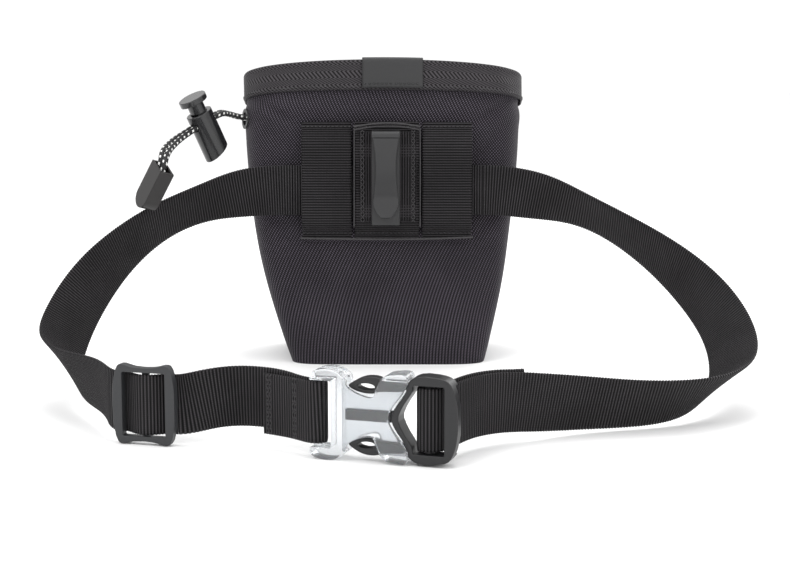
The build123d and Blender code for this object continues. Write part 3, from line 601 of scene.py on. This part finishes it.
def build_label():
    """Blank coated patch folded over the rim, with a row of stitches near its lower edge."""
    low = RIM_HEIGHT - 10.4 * MM
    shoulder = RIM_TOP - 1.4 * MM
    outer = 1.45 * MM
    inside = -3.35 * MM
    rise = list(np.linspace(low, shoulder, 10))
    grows = [outer] * len(rise)
    for angle in np.linspace(0.2, math.pi - 0.2, 9):
        rise.append(RIM_TOP - 1.2 * MM + 1.5 * MM * math.sin(angle))
        grows.append((outer + inside) / 2 + 2.35 * MM * math.cos(angle))
    rise += list(np.linspace(shoulder, low, 8))
    grows += [inside] * 8
    patch = back_patch("rim_patch", -12.3 * MM, 16.8 * MM, rise, grows, PATCH)
    settle(patch, "pouch", "label_patch", "rim_label")
    back = back_wall(low + 1.8 * MM, 2.35 * MM)
    spots = []
    for x in np.arange(-11.0 * MM, 16.0 * MM, 2.1 * MM):
        near = back[np.argmin(np.abs(back[:, 0] - x))]
        spots.append((near, (1, 0, 0), (0, -1, 0)))
    stitches("rim_patch_stitching", spots, "pouch", 1.4 * MM, 0.34 * MM, LOCK_GLOSS)


def build_collar():
    """Drawstring collar: a softly gathered band with a round hem inside the rim."""
    low = RIM_HEIGHT - 27.0 * MM
    hem = 3.1 * MM
    path = [(height, -2.0 * MM) for height in np.linspace(RIM_HEIGHT - BINDING_DROP, low + 6 * MM, 16)]
    path += [(low + hem + hem * math.cos(angle), -4.9 * MM + 2.9 * MM * math.sin(angle))
             for angle in np.linspace(0.5, 2 * math.pi - 0.2, 20)]
    count = 360
    turn = np.arange(count) * 2 * math.pi / count
    folds = np.sin(turn * 31 + np.sin(turn * 5) * 2.0) * 0.30 + np.sin(turn * 17 + 1.0) * 0.20
    grid = []
    uv_grid = []
    run = 0.0
    for index, (height, grow) in enumerate(path):
        points, girth = bag_outline(height, grow, count)
        if index:
            run += math.hypot(height - path[index - 1][0], grow - path[index - 1][1])
        fade = min(run / (8 * MM), 1.0)
        points = points + outward(points) * (folds * fade * MM - 0.5 * MM * fade)[:, None]
        grid.append(points)
        uv_grid.append([(girth * c / count, run) for c in range(count)])
    collar = grid_piece("collar_cloth", np.array(grid), uv_grid, LINING, wrap=True)
    settle(collar, "pouch", "lining_fabric", "drawstring_collar", "drawcord_loop")


# ---------------------------------------------------------------- panel on the back

# Places and routes are in millimetres from here on
LOOP_Y = -40.9                # middle of a loop where it stands off the wall
PATCH_Y = -38.0               # middle of a strip where it is sewn down
HOLDER_Y = -43.15             # face of the clip's holder
STITCH_COUNT = 34
UPRIGHT = (0, 0, 1)
SEWN_DOWN = (0, -0.1, -1)
SEWN_BACK = (0, 0.1, -1)


def panel_route(x, top, bottom, out, rest):
    """Upright strip at x: sewn at top and bottom, standing off the wall between. Millimetres."""
    side = (1, 0, 0)
    return [((x, rest, top), side), ((x, rest - 0.4, top - 2.4), side), ((x, out, top - 7.0), side),
            ((x, out, (top + bottom) / 2), side), ((x, out, bottom + 7.0), side),
            ((x, rest - 0.4, bottom + 2.4), side), ((x, rest, bottom), side)]


def build_panel():
    """Patch, two belt loops, clip panel and clip holder, with their stitching."""
    heights = np.linspace(63.8 * MM, 118.5 * MM, 12) * 0.985 - 4.5 * MM
    patch = back_patch("panel_patch", -41.8 * MM, 40.8 * MM, list(heights), [0.5 * MM] * 12, FABRIC)
    settle(patch, "pouch", "pouch_fabric", "loop_patch")
    for name, x, node in (("loop_strap_left", -29.5, "belt_loop_left"),
                          ("loop_strap_right", 28.5, "belt_loop_right")):
        route = panel_route(x, 119.2, 63.4, LOOP_Y, PATCH_Y)
        frames = strap_frames(route, SEWN_DOWN, SEWN_BACK, STRAP_WIDTH)
        piece = strap(name, frames, LOOP_WEBBING, width=24.8 * MM, thick=1.4 * MM)
        settle(piece, "pouch", "webbing", node)
    route = panel_route(-0.5, 119.6, 63.0, LOOP_Y - 0.1, PATCH_Y - 0.2)
    frames = strap_frames(route, SEWN_DOWN, SEWN_BACK, 32.2 * MM)
    piece = strap("clip_panel_strap", frames, LOOP_WEBBING, width=32.4 * MM, thick=1.5 * MM)
    settle(piece, "pouch", "webbing", "clip_panel")
    centre_z = 93.4
    plan = [(-13.6, -42.45), (-5, -42.5), (5, -42.5), (13.6, -42.45)]
    route = [((x, y, centre_z), UPRIGHT) for x, y in plan]
    frames = strap_frames(route, (1, 0, 0), (1, 0, 0), 44.6 * MM)
    piece = strap("clip_holder_strap", frames, LOOP_WEBBING, width=44.6 * MM, thick=1.3 * MM)
    settle(piece, "pouch", "webbing", "clip_holder")
    build_panel_stitching()
    build_piping()


def build_panel_stitching():
    """Slanted stitches down both sides of the clip's holder, and rows along the panel's ends."""
    spots = []
    for column in (-12.7, -11.7, 12.6, 11.7):
        for index in range(STITCH_COUNT):
            z = 72.0 + 43.0 * index / (STITCH_COUNT - 1)
            lean = 0.8 if (index + int(column)) % 2 else -0.8
            spots.append(((column * MM, HOLDER_Y * MM, z * MM), (lean, 0, 1), (0, -1, 0)))
    stitches("holder_stitching", spots, "pouch", 1.6 * MM, 0.26 * MM)
    spots = []
    for x in np.arange(-40.5, 40.5, 2.0):
        if abs(x + 16.5) < 0.8 or abs(x - 15.6) < 0.8:
            continue
        spots.append(((x * MM, -39.45 * MM, 65.8 * MM), (1, 0, 0.12 * (-1) ** int(x)), (0, -1, 0)))
        spots.append(((x * MM, -39.40 * MM, 117.2 * MM), (1, 0, 0.05), (0, -1, 0)))
    stitches("panel_stitching", spots, "pouch", 1.7 * MM)


def bead(name, places, radius):
    """Thin round bead of thread along a line, sewn to the pouch."""
    count = 160
    middle, length = clamped_spline(np.array(places) * MM, np.subtract(places[1], places[0]),
                                    np.subtract(places[-1], places[-2]), count)
    travel = np.gradient(middle, axis=0)
    travel /= np.linalg.norm(travel, axis=1)[:, None]
    around = 10
    grid = []
    uv_grid = []
    for index in range(count):
        side = np.cross(travel[index], (0, -1, 0.01))
        side /= np.linalg.norm(side)
        up = np.cross(travel[index], side)
        swell = radius * (1 + 0.10 * math.sin(index * 1.3))
        turns = [2 * math.pi * step / around for step in range(around)]
        grid.append([middle[index] + (side * math.cos(t) + up * math.sin(t)) * swell for t in turns])
        uv_grid.append([(length * index / (count - 1), t * radius) for t in turns])
    piece = grid_piece(name, np.array(grid), uv_grid, THREAD, wrap=True)
    cap_ends(piece, around, count)
    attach(piece, "pouch")


def build_piping():
    """Arched double edge above the centre panel, its side seams and the seam under the whole panel."""
    bead("piping_upper", [(-16.4, -42.9, 117.3), (-8, -43.1, 118.5), (0, -43.2, 118.9), (8, -43.1, 118.5),
                          (15.6, -42.9, 117.3)], 0.42 * MM)
    bead("piping_lower", [(-16.0, -42.9, 115.9), (-8, -43.2, 117.1), (0, -43.3, 117.4), (8, -43.2, 117.1),
                          (15.2, -42.9, 115.9)], 0.38 * MM)
    bead("seam_left", [(-16.1, -42.6, 116.5), (-16.2, -42.6, 95), (-16.3, -42.6, 69)], 0.36 * MM)
    bead("seam_right", [(15.4, -42.6, 116.5), (15.5, -42.6, 95), (15.5, -42.6, 69)], 0.36 * MM)
    bead("seam_low", [(-42.2, -40.4, 63.4), (-20, -41.2, 63.1), (0, -41.3, 63.0), (20, -41.2, 63.2),
                      (41.2, -40.4, 63.9)], 0.50 * MM)


# ---------------------------------------------------------------- belt

LEFT_RUN = [((-46, -38.9, 86.6), UPRIGHT), ((-62, -39.0, 86.0), (0, -0.10, 1)),
            ((-84, -42.0, 82.0), (-0.05, -0.6, 0.88)), ((-106, -52.0, 73.5), (-0.3, -0.85, 0.8)),
            ((-124, -69.0, 60.5), (-0.62, -0.8, 0.72)), ((-137, -91.0, 44.5), (-0.90, -0.5, 0.62)),
            ((-142.5, -109.0, 31.5), (-0.80, -0.25, 0.55)), ((-141.8, -126.0, 23.8), (-0.66, -0.14, 0.70)),
            ((-135.5, -143.5, 19.0), (-0.45, -0.18, 0.87)), ((-122.9, -165.0, 18.2), (-0.26, -0.08, 0.96)),
            ((-112.5, -183.0, 17.6), (-0.1, 0, 1)), ((-105.5, -192.8, 16.1), UPRIGHT)]
FRONT_RUN = [((-81.5, -199.5, 16.1), UPRIGHT), ((-71, -198.3, 17.6), UPRIGHT),
             ((-60, -197.2, 18.9), UPRIGHT), ((-48, -200.4, 19.2), UPRIGHT),
             ((-38, -207.4, 18.8), UPRIGHT), ((-28.0, -214.9, 17.9), UPRIGHT)]
FOLD_RUN = [((-28.0, -214.9, 17.9), UPRIGHT), ((-24.7, -215.4, 17.9), UPRIGHT),
            ((-22.8, -217.4, 17.9), UPRIGHT), ((-22.9, -219.2, 17.8), UPRIGHT),
            ((-23.8, -220.5, 17.8), UPRIGHT), ((-26.5, -221.0, 17.7), UPRIGHT),
            ((-29.6, -219.3, 17.6), UPRIGHT), ((-33.6, -214.7, 17.5), UPRIGHT),
            ((-39.3, -209.1, 17.4), UPRIGHT), ((-47.3, -203.1, 17.3), UPRIGHT)]
RIGHT_RUN = [((46, -38.9, 86.6), UPRIGHT), ((62, -39.0, 85.4), (0, -0.10, 1)),
             ((88, -43.0, 79.5), (0, -0.7, 0.88)), ((113, -56.0, 67.5), (0.25, -0.95, 0.8)),
             ((135, -80.0, 51.5), (0.6, -0.8, 0.7)), ((147, -107.0, 37.0), (0.85, -0.6, 0.65)),
             ((149, -133.0, 24.8), (1, -0.5, 0.65)), ((141, -156.0, 16.8), (0.85, -0.5, 0.78)),
             ((125, -171.5, 12.8), (0.45, -0.55, 0.88)), ((103, -179.5, 12.0), (0.12, -0.45, 0.9)),
             ((81, -184.5, 13.2), (0, -0.30, 1)), ((60, -193.0, 15.4), (0, -0.10, 1)),
             ((46, -200.5, 17.0), UPRIGHT), ((35, -209.5, 17.4), UPRIGHT), ((27.4, -221.3, 17.5), UPRIGHT)]
RIGHT_SPLIT = 0.6
TAIL_RUN = [((24.34, -219.72, 17.6), UPRIGHT), ((32.9, -207.2, 17.9), UPRIGHT),
            ((44.6, -198.0, 17.6), UPRIGHT), ((54.0, -192.8, 17.0), UPRIGHT)]
GLIDE_RUN = [(-12.5, -1.9), (-9.5, -1.8), (-5, 0.7), (0, 2.7), (5, 0.7), (9.5, -1.8), (12.4, -1.9)]
LADDER_RUN = [(24.6, -13.5), (23.6, -8), (22.6, -2.6), (20.6, 1.3), (17.2, 2.8), (14.1, 1.9), (13.0, -0.7),
              (14.2, -3.6), (17.6, -6.6), (20.3, -11.0), (21.2, -14.0)]

# Directions of the strap where one length of it ends and the next starts
GLIDE_IN = (0.85, -0.53, 0)
GLIDE_OUT = (0.985, 0.05, 0)
BUCKLE_IN = (0.9505, -0.3107, 0)
LADDER_IN = (-0.475, -0.876, 0)
TAIL_OUT = (0.45, 0.89, 0)
FOLD_OUT = (-0.8, 0.6, 0)
BUCKLE_CENTRE = (-0.2, -226.5, 17.5)
BUCKLE_YAW = math.radians(-18.1)
GLIDE_CENTRE = (-94.0, -198.0, 16.1)
GLIDE_YAW = math.radians(-15.6)


def plan_route(centre, yaw, points):
    """Stations of an upright strap from (along, out) points in a turned plan."""
    route = []
    for along, out in points:
        x = centre[0] + math.cos(yaw) * along + math.sin(yaw) * out
        y = centre[1] + math.sin(yaw) * along - math.cos(yaw) * out
        route.append(((x, y, centre[2]), UPRIGHT))
    return route


def belt_piece(name, route, start, end, body, node, first=0.0, last=1.0):
    frames = strap_frames(route, start, end, STRAP_WIDTH, first, last)
    piece = strap(name, frames, WEBBING, thick=1.5 * MM)
    settle(piece, body, "webbing", node)
    return piece


def build_belt():
    """Waist belt as lengths of one ribbed strap."""
    back = [((x, -38.9, 86.6), UPRIGHT) for x in (-46, -20, 20, 46)]
    belt_piece("strap_back", back, (1, 0, 0), (1, 0, 0), "belt", "belt_back")
    left = belt_piece("strap_left", LEFT_RUN, (-1, 0, 0), GLIDE_IN, None, "belt_left")
    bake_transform(left)
    glide = plan_route(GLIDE_CENTRE, GLIDE_YAW, GLIDE_RUN)
    belt_piece("strap_over_slider", glide, GLIDE_IN, GLIDE_OUT, "slider", "belt_over_slider")
    front = belt_piece("strap_front", FRONT_RUN, GLIDE_OUT, BUCKLE_IN, None, "belt_front")
    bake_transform(front)
    belt_piece("strap_fold", FOLD_RUN, BUCKLE_IN, FOLD_OUT, "belt", "belt_fold")
    belt_piece("strap_right", RIGHT_RUN, (1, 0, 0), LADDER_IN, "belt", "belt_right", last=RIGHT_SPLIT)
    drawn = belt_piece("strap_right_front", RIGHT_RUN, (1, 0, 0), LADDER_IN, None, "belt_right_front",
                       first=RIGHT_SPLIT)
    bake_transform(drawn)
    ladder = plan_route(BUCKLE_CENTRE, BUCKLE_YAW, LADDER_RUN)
    belt_piece("strap_ladder", ladder, LADDER_IN, TAIL_OUT, "male_buckle", "belt_ladder")
    belt_piece("strap_tail", TAIL_RUN, TAIL_OUT, (0.88, 0.47, 0), "male_buckle", "belt_tail")
    build_fold_stitching()


def build_fold_stitching():
    """Two pairs of slanted stitch rows across the doubled strap beside the buckle."""
    middle, travel, across, face, distance = strap_frames(FOLD_RUN, BUCKLE_IN, FOLD_OUT, STRAP_WIDTH)
    rows = 15
    spots = []
    for back_from_end in (2.2 * MM, 3.6 * MM, 16.0 * MM, 17.4 * MM):
        index = int(np.argmin(np.abs(distance - (distance[-1] - back_from_end))))
        front = face[index] if face[index][1] < 0 else -face[index]
        for row in range(rows):
            wide = (-11.2 + 22.4 * row / (rows - 1)) * MM
            lean = 0.7 if row % 2 else -0.7
            place = middle[index] + across[index] * wide + front * (0.75 * MM)
            spots.append((place, across[index] + lean * travel[index], front))
    stitches("fold_stitching", spots, "belt", 1.9 * MM, 0.26 * MM)


# ---------------------------------------------------------------- cords

DRAWCORD_ONE = [(-63.2, -10.1, 119.5), (-73.6, -14.4, 120.6), (-80.0, -22.6, 123.2),
                (-82.5, -34.8, 123.6), (-96.0, -44.9, 114.9), (-101.8, -54.2, 111.0),
                (-104.9, -64.6, 107.1), (-104.7, -70.9, 101.5), (-106.4, -70.4, 96.4)]
DRAWCORD_TWO = [(-62.2, -12.9, 119.5), (-72.2, -17.4, 120.4), (-77.6, -25.8, 122.8),
                (-80.8, -37.1, 123.5), (-94.3, -47.2, 114.8), (-99.6, -56.6, 110.4),
                (-102.5, -67.0, 105.9), (-102.9, -73.4, 100.3), (-104.9, -72.5, 95.1)]


def spline_line(points):
    """Points along the cord's smooth line, read from its NURBS spline."""
    curve = bpy.data.curves.new("route", "CURVE")
    curve.dimensions = "3D"
    curve.resolution_u = 16
    spline = curve.splines.new("NURBS")
    spline.points.add(len(points) - 1)
    for point, place in zip(spline.points, points):
        point.co = (place[0] * MM, place[1] * MM, place[2] * MM, 1)
    spline.order_u = 3
    spline.use_endpoint_u = True
    holder = bpy.data.objects.new("route", curve)
    line = bpy.data.meshes.new_from_object(holder)
    places = np.array([v.co[:] for v in line.vertices])
    bpy.data.objects.remove(holder)
    return places


def cord_tube(name, points, node):
    """Round braided cord along its route."""
    line = spline_line(points)
    lengths = np.concatenate([[0], np.cumsum(np.linalg.norm(np.diff(line, axis=0), axis=1))])
    count = int(lengths[-1] / (0.35 * MM))
    wanted = np.linspace(0, lengths[-1], count)
    path = np.stack([np.interp(wanted, lengths, line[:, k]) for k in range(3)], 1)
    travel = np.gradient(path, axis=0)
    travel /= np.linalg.norm(travel, axis=1)[:, None]
    normal = np.cross(travel[0], (0, 0, 1))
    around = 16
    verts = []
    for index in range(count):
        normal = normal - travel[index] * (normal @ travel[index])
        normal = normal / np.linalg.norm(normal)
        side = np.cross(travel[index], normal)
        for step in range(around):
            angle = 2 * math.pi * step / around
            swell = CORD_DIAMETER / 2 * (1 - 0.04 * math.cos(angle * 8 + wanted[index] / MM * 2.7))
            verts.append(path[index] + (normal * math.cos(angle) + side * math.sin(angle)) * swell)
    faces = []
    uvs = []
    for row in range(count - 1):
        for column in range(around):
            after = (column + 1) % around
            for r, c, v in ((row, column, column), (row, after, column + 1), (row + 1, after, column + 1),
                            (row + 1, column, column)):
                uvs.append((wanted[r], v / around))
            faces.append([row * around + column, row * around + after, (row + 1) * around + after,
                          (row + 1) * around + column])
    piece = mesh_piece(name, verts, faces, CORD, uvs)
    cap_ends(piece, around, count)
    settle(piece, "pouch", "cord", node)


# ---------------------------------------------------------------- hard parts

# Node, new piece, body, material, voxel size, smoothing passes and material slot
MOULDINGS = [
    ("buckle_female", "female_moulding", "belt", CLEAR, 0.28 * MM, 5, "clear_plastic"),
    ("buckle_male", "male_moulding", "male_buckle", BUCKLE_BLACK, 0.28 * MM, 6, "buckle_black"),
    ("buckle_prong_upper", "prong_upper_moulding", "prong_upper", BUCKLE_BLACK, 0.2 * MM, 5,
     "buckle_black"),
    ("buckle_prong_lower", "prong_lower_moulding", "prong_lower", BUCKLE_BLACK, 0.2 * MM, 5,
     "buckle_black"),
    ("belt_slider", "slider_moulding", "slider", SLIDER_GREY, 0.28 * MM, 8, "slider_grey"),
    ("cord_lock_body", "lock_barrel", "pouch", LOCK_GLOSS, 0.22 * MM, 5, "lock_plastic"),
    ("cord_lock_plunger", "lock_button", "lock_plunger", LOCK_GLOSS, 0.22 * MM, 5, "lock_plastic"),
    ("cord_end_shell", "end_moulding", "pouch", END_GREY, 0.2 * MM, 3, "end_plastic"),
    ("clip_plate", "clip_back", "pouch", CLIP_METAL, 0.2 * MM, 3, "clip_metal"),
    ("clip_tongue", "clip_spring", "clip_tongue", CLIP_METAL, 0.18 * MM, 3, "clip_metal")]

# CAD nodes that are seen as they are, with their materials
PLAIN_NODES = [("base_panel", FABRIC), ("base_board", LINING), ("rim_stiffener", LINING),
               ("cord_eyelet", CLIP_METAL), ("clip_rivets", CLIP_METAL), ("cord_lock_spring", SPRING),
               ("cord_end_plug", END_GREY)]


def moulded(node, name, body, material, voxel, passes, slot_name):
    """Rounded copy of a CAD node, as it comes from a mould."""
    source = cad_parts[node]
    copy = bpy.data.objects.new(name, source.data.copy())
    bpy.context.scene.collection.objects.link(copy)
    remesh = copy.modifiers.new("skin", "REMESH")
    remesh.mode = "VOXEL"
    remesh.voxel_size = voxel
    smooth = copy.modifiers.new("soften", "SMOOTH")
    smooth.factor = 0.5
    smooth.iterations = passes
    bpy.context.view_layer.update()
    graph = bpy.context.evaluated_depsgraph_get()
    mesh = bpy.data.meshes.new_from_object(copy.evaluated_get(graph))
    bpy.data.objects.remove(copy)
    mesh.name = name
    mesh.materials.clear()
    mesh.materials.append(material)
    mesh.polygons.foreach_set("use_smooth", [True] * len(mesh.polygons))
    piece = bpy.data.objects.new(name, mesh)
    bpy.context.scene.collection.objects.link(piece)
    settle(piece, body, slot_name, node)


def build_hardware():
    """Clip, cord lock, cord end, buckle and slider."""
    for row in MOULDINGS:
        moulded(*row)
    for name, material in PLAIN_NODES:
        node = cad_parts[name]
        if not node.data.materials:
            node.data.materials.append(material)
        for slot in node.material_slots:
            slot.link = "OBJECT"
            slot.material = material


# ---------------------------------------------------------------- studio

def build_studio():
    """White floor, soft lights all round and a white sky."""
    floor_mesh = bpy.data.meshes.new("studio_floor")
    reach = 6.0
    corners = [(-reach, -reach, 0), (reach, -reach, 0), (reach, reach, 0), (-reach, reach, 0)]
    floor_mesh.from_pydata(corners, [], [(0, 1, 2, 3)])
    floor_mesh.materials.append(Shader("studio_white", (0.97, 0.97, 0.97), 0.8, shine=0.1).material)
    floor = bpy.data.objects.new("studio_floor", floor_mesh)
    bpy.context.scene.collection.objects.link(floor)
    for name, place, aim, size, power in (
            ("key_light", (-0.55, -0.75, 0.95), (0, -0.08, 0.07), 0.55, 4.2),
            ("fill_light", (0.75, -0.70, 0.55), (0, -0.08, 0.07), 0.7, 2.2),
            ("top_light", (0.0, 0.10, 1.15), (0, -0.08, 0.05), 0.8, 5.0),
            ("rim_light", (0.65, 0.65, 0.55), (0, 0, 0.08), 0.5, 2.2),
            ("front_light", (0.05, -1.2, 0.25), (0, -0.1, 0.06), 0.6, 1.0)):
        data = bpy.data.lights.new(name, "AREA")
        data.size = size
        data.energy = power
        lamp = bpy.data.objects.new(name, data)
        lamp.location = place
        gaze = np.array(aim) - np.array(place)
        lamp.rotation_euler = (math.atan2(math.hypot(gaze[0], gaze[1]), -gaze[2]), 0,
                               math.atan2(gaze[0], -gaze[1]) + math.pi)
        bpy.context.scene.collection.objects.link(lamp)
    world = bpy.data.worlds.new("studio_world")
    world.use_nodes = True
    sky = world.node_tree.nodes["Background"]
    sky.inputs[0].default_value = (1, 1, 1, 1)
    sky.inputs[1].default_value = 1.05
    bpy.context.scene.world = world


build_hardware()
cord_tube("cord_strand_one", DRAWCORD_ONE, "drawcord_tail_one")
cord_tube("cord_strand_two", DRAWCORD_TWO, "drawcord_tail_two")
build_pouch()
build_panel()
build_belt()
build_studio()
